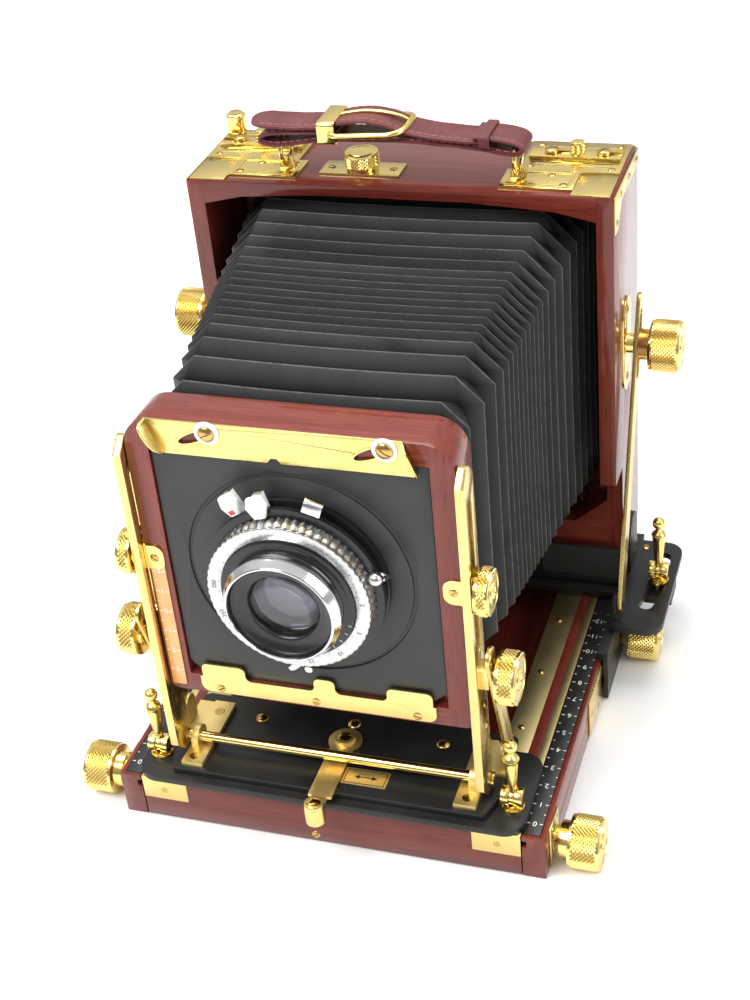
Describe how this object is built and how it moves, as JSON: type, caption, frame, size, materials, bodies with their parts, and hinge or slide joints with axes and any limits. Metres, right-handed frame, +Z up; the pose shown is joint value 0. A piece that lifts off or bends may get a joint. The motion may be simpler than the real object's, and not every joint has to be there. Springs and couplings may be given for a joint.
{
  "type": "folding field camera",
  "caption": "Wooden folding field camera with a leatherette bellows, plated metal fittings, a lens in a leaf shutter, a geared focusing bed and a tilting, swinging back.",
  "frame": {"origin": "mouth of the tripod socket, in the middle of the bed's underside", "axes": "+Z up, -Y the way the lens looks, X across the camera"},
  "size_m": [0.212, 0.2085, 0.2295],
  "materials": {
    "lacquered_wood": "gloss lacquer",
    "gold_plate": "polished gold plating",
    "rail_brass": "satin brass",
    "black_metal": "satin black",
    "scale_black": "matt black with white figures",
    "bellows_black": "grained leatherette",
    "strap_leather": "smooth burgundy leather",
    "steel": "bright",
    "chrome": "polished",
    "glass": "coated lens glass",
    "ground_glass": "frosted"
  },
  "bodies": {
    "bed": {"bed_frame": "lacquered_wood", "tripod_socket": "gold_plate", "bed_scales": "scale_black", "bed_side_plates": "gold_plate", "bellows": "bellows_black"},
    "focus_track": {"track_frame": "lacquered_wood", "track_strips": "rail_brass", "track_corner_plates": "gold_plate", "focus_racks": "rail_brass"},
    "focus_shaft": {"pinion_shaft": "steel", "focus_knobs": "gold_plate"},
    "front_carriage": {"carriage_plate": "black_metal", "carriage_forks": "gold_plate"},
    "carriage_lever_left": {"carriage_lever_left": "gold_plate"},
    "carriage_lever_right": {"carriage_lever_right": "gold_plate"},
    "front_swing": {"front_swing_plate": "black_metal", "front_brackets": "gold_plate"},
    "swing_lock": {"swing_lock_lever": "gold_plate"},
    "front_tilt": {"lens_uprights": "gold_plate", "tilt_rod": "gold_plate"},
    "tilt_braces": {"tilt_braces": "gold_plate"},
    "tilt_knob_left": {"tilt_knob_left": "gold_plate"},
    "tilt_knob_right": {"tilt_knob_right": "gold_plate"},
    "lens_standard": {"lens_frame": "lacquered_wood", "rise_studs": "gold_plate", "board_retainer": "gold_plate", "lock_screws": "gold_plate", "lens_board": "black_metal", "shutter_body": "black_metal", "lens_front_cell": "chrome", "lens_rear_cell": "black_metal", "lens_glass": "glass"},
    "rise_knob_left": {"rise_knob_left": "gold_plate"},
    "rise_knob_right": {"rise_knob_right": "gold_plate"},
    "board_lock": {"board_lock": "gold_plate"},
    "speed_ring": {"speed_ring": "chrome"},
    "aperture_lever": {"aperture_lever": "chrome"},
    "cocking_lever": {"cocking_lever": "chrome"},
    "release_lever": {"release_lever": "chrome"},
    "sync_lever": {"sync_lever": "chrome"},
    "rear_carriage": {"rear_saddle": "black_metal", "rear_forks": "gold_plate"},
    "rear_clamp_left": {"rear_clamp_knob_left": "gold_plate"},
    "rear_clamp_right": {"rear_clamp_knob_right": "gold_plate"},
    "rear_lever_left": {"rear_lever_left": "gold_plate"},
    "rear_lever_right": {"rear_lever_right": "gold_plate"},
    "rear_swing": {"rear_swing_plate": "black_metal"},
    "rear_braces": {"rear_braces": "gold_plate"},
    "rear_standard": {"rear_box": "lacquered_wood", "top_plates": "gold_plate", "box_side_plates": "gold_plate"},
    "brace_knob_left": {"brace_knob_left": "gold_plate"},
    "brace_knob_right": {"brace_knob_right": "gold_plate"},
    "lock_knob": {"lock_knob": "gold_plate"},
    "latch_left": {"back_latch_left": "gold_plate"},
    "latch_right": {"back_latch_right": "gold_plate"},
    "handle": {"strap": "strap_leather", "strap_rings": "gold_plate"},
    "focusing_back": {"spring_back": "lacquered_wood", "ground_glass": "ground_glass"}
  },
  "joints": [
    {"name": "focus_slide", "type": "slide", "parent": "bed", "child": "focus_track", "axis": [0, -1, 0], "range_m": [0, 0.08], "deforming": ["bellows"]},
    {"name": "carriage_slide", "type": "slide", "parent": "focus_track", "child": "front_carriage", "axis": [0, 1, 0], "range_m": [0, 0.06], "deforming": ["bellows"]},
    {"name": "front_swing", "type": "hinge", "parent": "front_carriage", "child": "front_swing", "pos_m": [0, -0.067, 0.025], "axis": [0, 0, 1], "range_deg": [-10, 10], "deforming": ["bellows"]},
    {"name": "front_tilt", "type": "hinge", "parent": "front_swing", "child": "front_tilt", "pos_m": [0, -0.08, 0.0315], "axis": [1, 0, 0], "range_deg": [-12, 12], "deforming": ["bellows"]},
    {"name": "front_rise", "type": "slide", "parent": "front_tilt", "child": "lens_standard", "axis": [0, 0, 1], "range_m": [-0.012, 0.03], "deforming": ["bellows"]},
    {"name": "rear_slide", "type": "slide", "parent": "bed", "child": "rear_carriage", "axis": [0, -1, 0], "range_m": [0, 0.025], "deforming": ["bellows"]},
    {"name": "rear_swing", "type": "hinge", "parent": "rear_carriage", "child": "rear_swing", "pos_m": [0, 0.06, 0.026], "axis": [0, 0, 1], "range_deg": [-8, 8], "deforming": ["bellows"]},
    {"name": "rear_tilt", "type": "hinge", "parent": "rear_swing", "child": "rear_standard", "pos_m": [0, 0.067, 0.044], "axis": [1, 0, 0], "range_deg": [-10, 12], "deforming": ["bellows"]},
    {"name": "back_opening", "type": "slide", "parent": "rear_standard", "child": "focusing_back", "axis": [0, 1, 0], "range_m": [0, 0.012], "stiffness_N_per_m": 400, "springref_m": -0.004},
    {"name": "handle_swing", "type": "hinge", "parent": "rear_standard", "child": "handle", "pos_m": [0, 0.057, 0.215], "axis": [1, 0, 0], "range_deg": [-36, 40]},
    {"name": "board_lock_slide", "type": "slide", "parent": "lens_standard", "child": "board_lock", "axis": [0.922, 0, 0.3872], "range_m": [0, 0.0094]},
    {"name": "speed_ring_turn", "type": "hinge", "parent": "lens_standard", "child": "speed_ring", "pos_m": [0, -0.1, 0.121], "axis": [0, 1, 0], "range_deg": [-90, 70]},
    {"name": "aperture_turn", "type": "hinge", "parent": "lens_standard", "child": "aperture_lever", "pos_m": [0, -0.1, 0.121], "axis": [0, 1, 0], "range_deg": [0, 55]},
    {"name": "cocking_turn", "type": "hinge", "parent": "lens_standard", "child": "cocking_lever", "pos_m": [0, -0.1, 0.121], "axis": [0, 1, 0], "range_deg": [-55, 0]},
    {"name": "release_press", "type": "hinge", "parent": "lens_standard", "child": "release_lever", "pos_m": [0, -0.1, 0.121], "axis": [0, 1, 0], "range_deg": [0, 10], "stiffness_Nm_per_rad": 0.02, "springref_deg": -5.73},
    {"name": "sync_turn", "type": "hinge", "parent": "lens_standard", "child": "sync_lever", "pos_m": [0, -0.1, 0.121], "axis": [0, 1, 0], "range_deg": [-8, 8]},
    {"name": "swing_lock_turn", "type": "hinge", "parent": "front_swing", "child": "swing_lock", "pos_m": [0, -0.067, 0.027], "axis": [0, 0, 1], "range_deg": [-12, 12]},
    {"name": "carriage_lever_left_flip", "type": "hinge", "parent": "front_carriage", "child": "carriage_lever_left", "pos_m": [-0.07, -0.084, 0.0286], "axis": [1, 0, 0], "range_deg": [0, 80]},
    {"name": "carriage_lever_right_flip", "type": "hinge", "parent": "front_carriage", "child": "carriage_lever_right", "pos_m": [0.07, -0.084, 0.0286], "axis": [1, 0, 0], "range_deg": [0, 80]},
    {"name": "rear_lever_left_flip", "type": "hinge", "parent": "rear_carriage", "child": "rear_lever_left", "pos_m": [-0.0995, 0.055, 0.0331], "axis": [1, 0, 0], "range_deg": [0, 80]},
    {"name": "rear_lever_right_flip", "type": "hinge", "parent": "rear_carriage", "child": "rear_lever_right", "pos_m": [0.0995, 0.055, 0.0331], "axis": [1, 0, 0], "range_deg": [0, 80]},
    {"name": "latch_left_slide", "type": "slide", "parent": "rear_standard", "child": "latch_left", "axis": [1, 0, 0], "range_m": [0, 0.004]},
    {"name": "latch_right_slide", "type": "slide", "parent": "rear_standard", "child": "latch_right", "axis": [-1, 0, 0], "range_m": [0, 0.004]},
    {"name": "rise_knob_left_turn", "type": "hinge", "parent": "lens_standard", "child": "rise_knob_left", "pos_m": [-0.065, -0.085, 0.122], "axis": [1, 0, 0], "range_deg": [0, 270]},
    {"name": "tilt_knob_left_turn", "type": "hinge", "parent": "front_tilt", "child": "tilt_knob_left", "pos_m": [-0.07, -0.083, 0.084], "axis": [1, 0, 0], "range_deg": [0, 270]},
    {"name": "rear_clamp_left_turn", "type": "hinge", "parent": "rear_carriage", "child": "rear_clamp_left", "pos_m": [-0.095, 0.039, 0.01], "axis": [1, 0, 0], "range_deg": [0, 270]},
    {"name": "brace_knob_left_turn", "type": "hinge", "parent": "rear_standard", "child": "brace_knob_left", "pos_m": [-0.098, 0.067, 0.134], "axis": [1, 0, 0], "range_deg": [0, 270]},
    {"name": "rise_knob_right_turn", "type": "hinge", "parent": "lens_standard", "child": "rise_knob_right", "pos_m": [0.065, -0.085, 0.122], "axis": [1, 0, 0], "range_deg": [0, 270]},
    {"name": "tilt_knob_right_turn", "type": "hinge", "parent": "front_tilt", "child": "tilt_knob_right", "pos_m": [0.07, -0.083, 0.084], "axis": [1, 0, 0], "range_deg": [0, 270]},
    {"name": "rear_clamp_right_turn", "type": "hinge", "parent": "rear_carriage", "child": "rear_clamp_right", "pos_m": [0.095, 0.039, 0.01], "axis": [1, 0, 0], "range_deg": [0, 270]},
    {"name": "brace_knob_right_turn", "type": "hinge", "parent": "rear_standard", "child": "brace_knob_right", "pos_m": [0.098, 0.067, 0.134], "axis": [1, 0, 0], "range_deg": [0, 270]},
    {"name": "lock_knob_turn", "type": "hinge", "parent": "rear_standard", "child": "lock_knob", "pos_m": [-0.016, 0.059, 0.21], "axis": [0, 0, 1], "range_deg": [0, 270]},
    {"name": "focus_turn", "type": "hinge", "parent": "bed", "child": "focus_shaft", "pos_m": [0, -0.083, 0.01], "axis": [1, 0, 0], "range_deg": [0, 960]},
    {"name": "tilt_brace_turn", "type": "hinge", "parent": "front_swing", "child": "tilt_braces", "pos_m": [0, -0.068, 0.036], "axis": [1, 0, 0], "range_deg": [-14, 14]},
    {"name": "rear_brace_turn", "type": "hinge", "parent": "rear_swing", "child": "rear_braces", "pos_m": [0, 0.029, 0.034], "axis": [1, 0, 0], "range_deg": [-10, 12]}
  ],
  "couplings": [
    {"joint": "focus_turn", "follows": "focus_slide", "rad_per_m": 208.33},
    {"joint": "tilt_brace_turn", "follows": "front_tilt", "ratio": 1.014},
    {"joint": "rear_brace_turn", "follows": "rear_tilt", "ratio": 0.79}
  ]
}
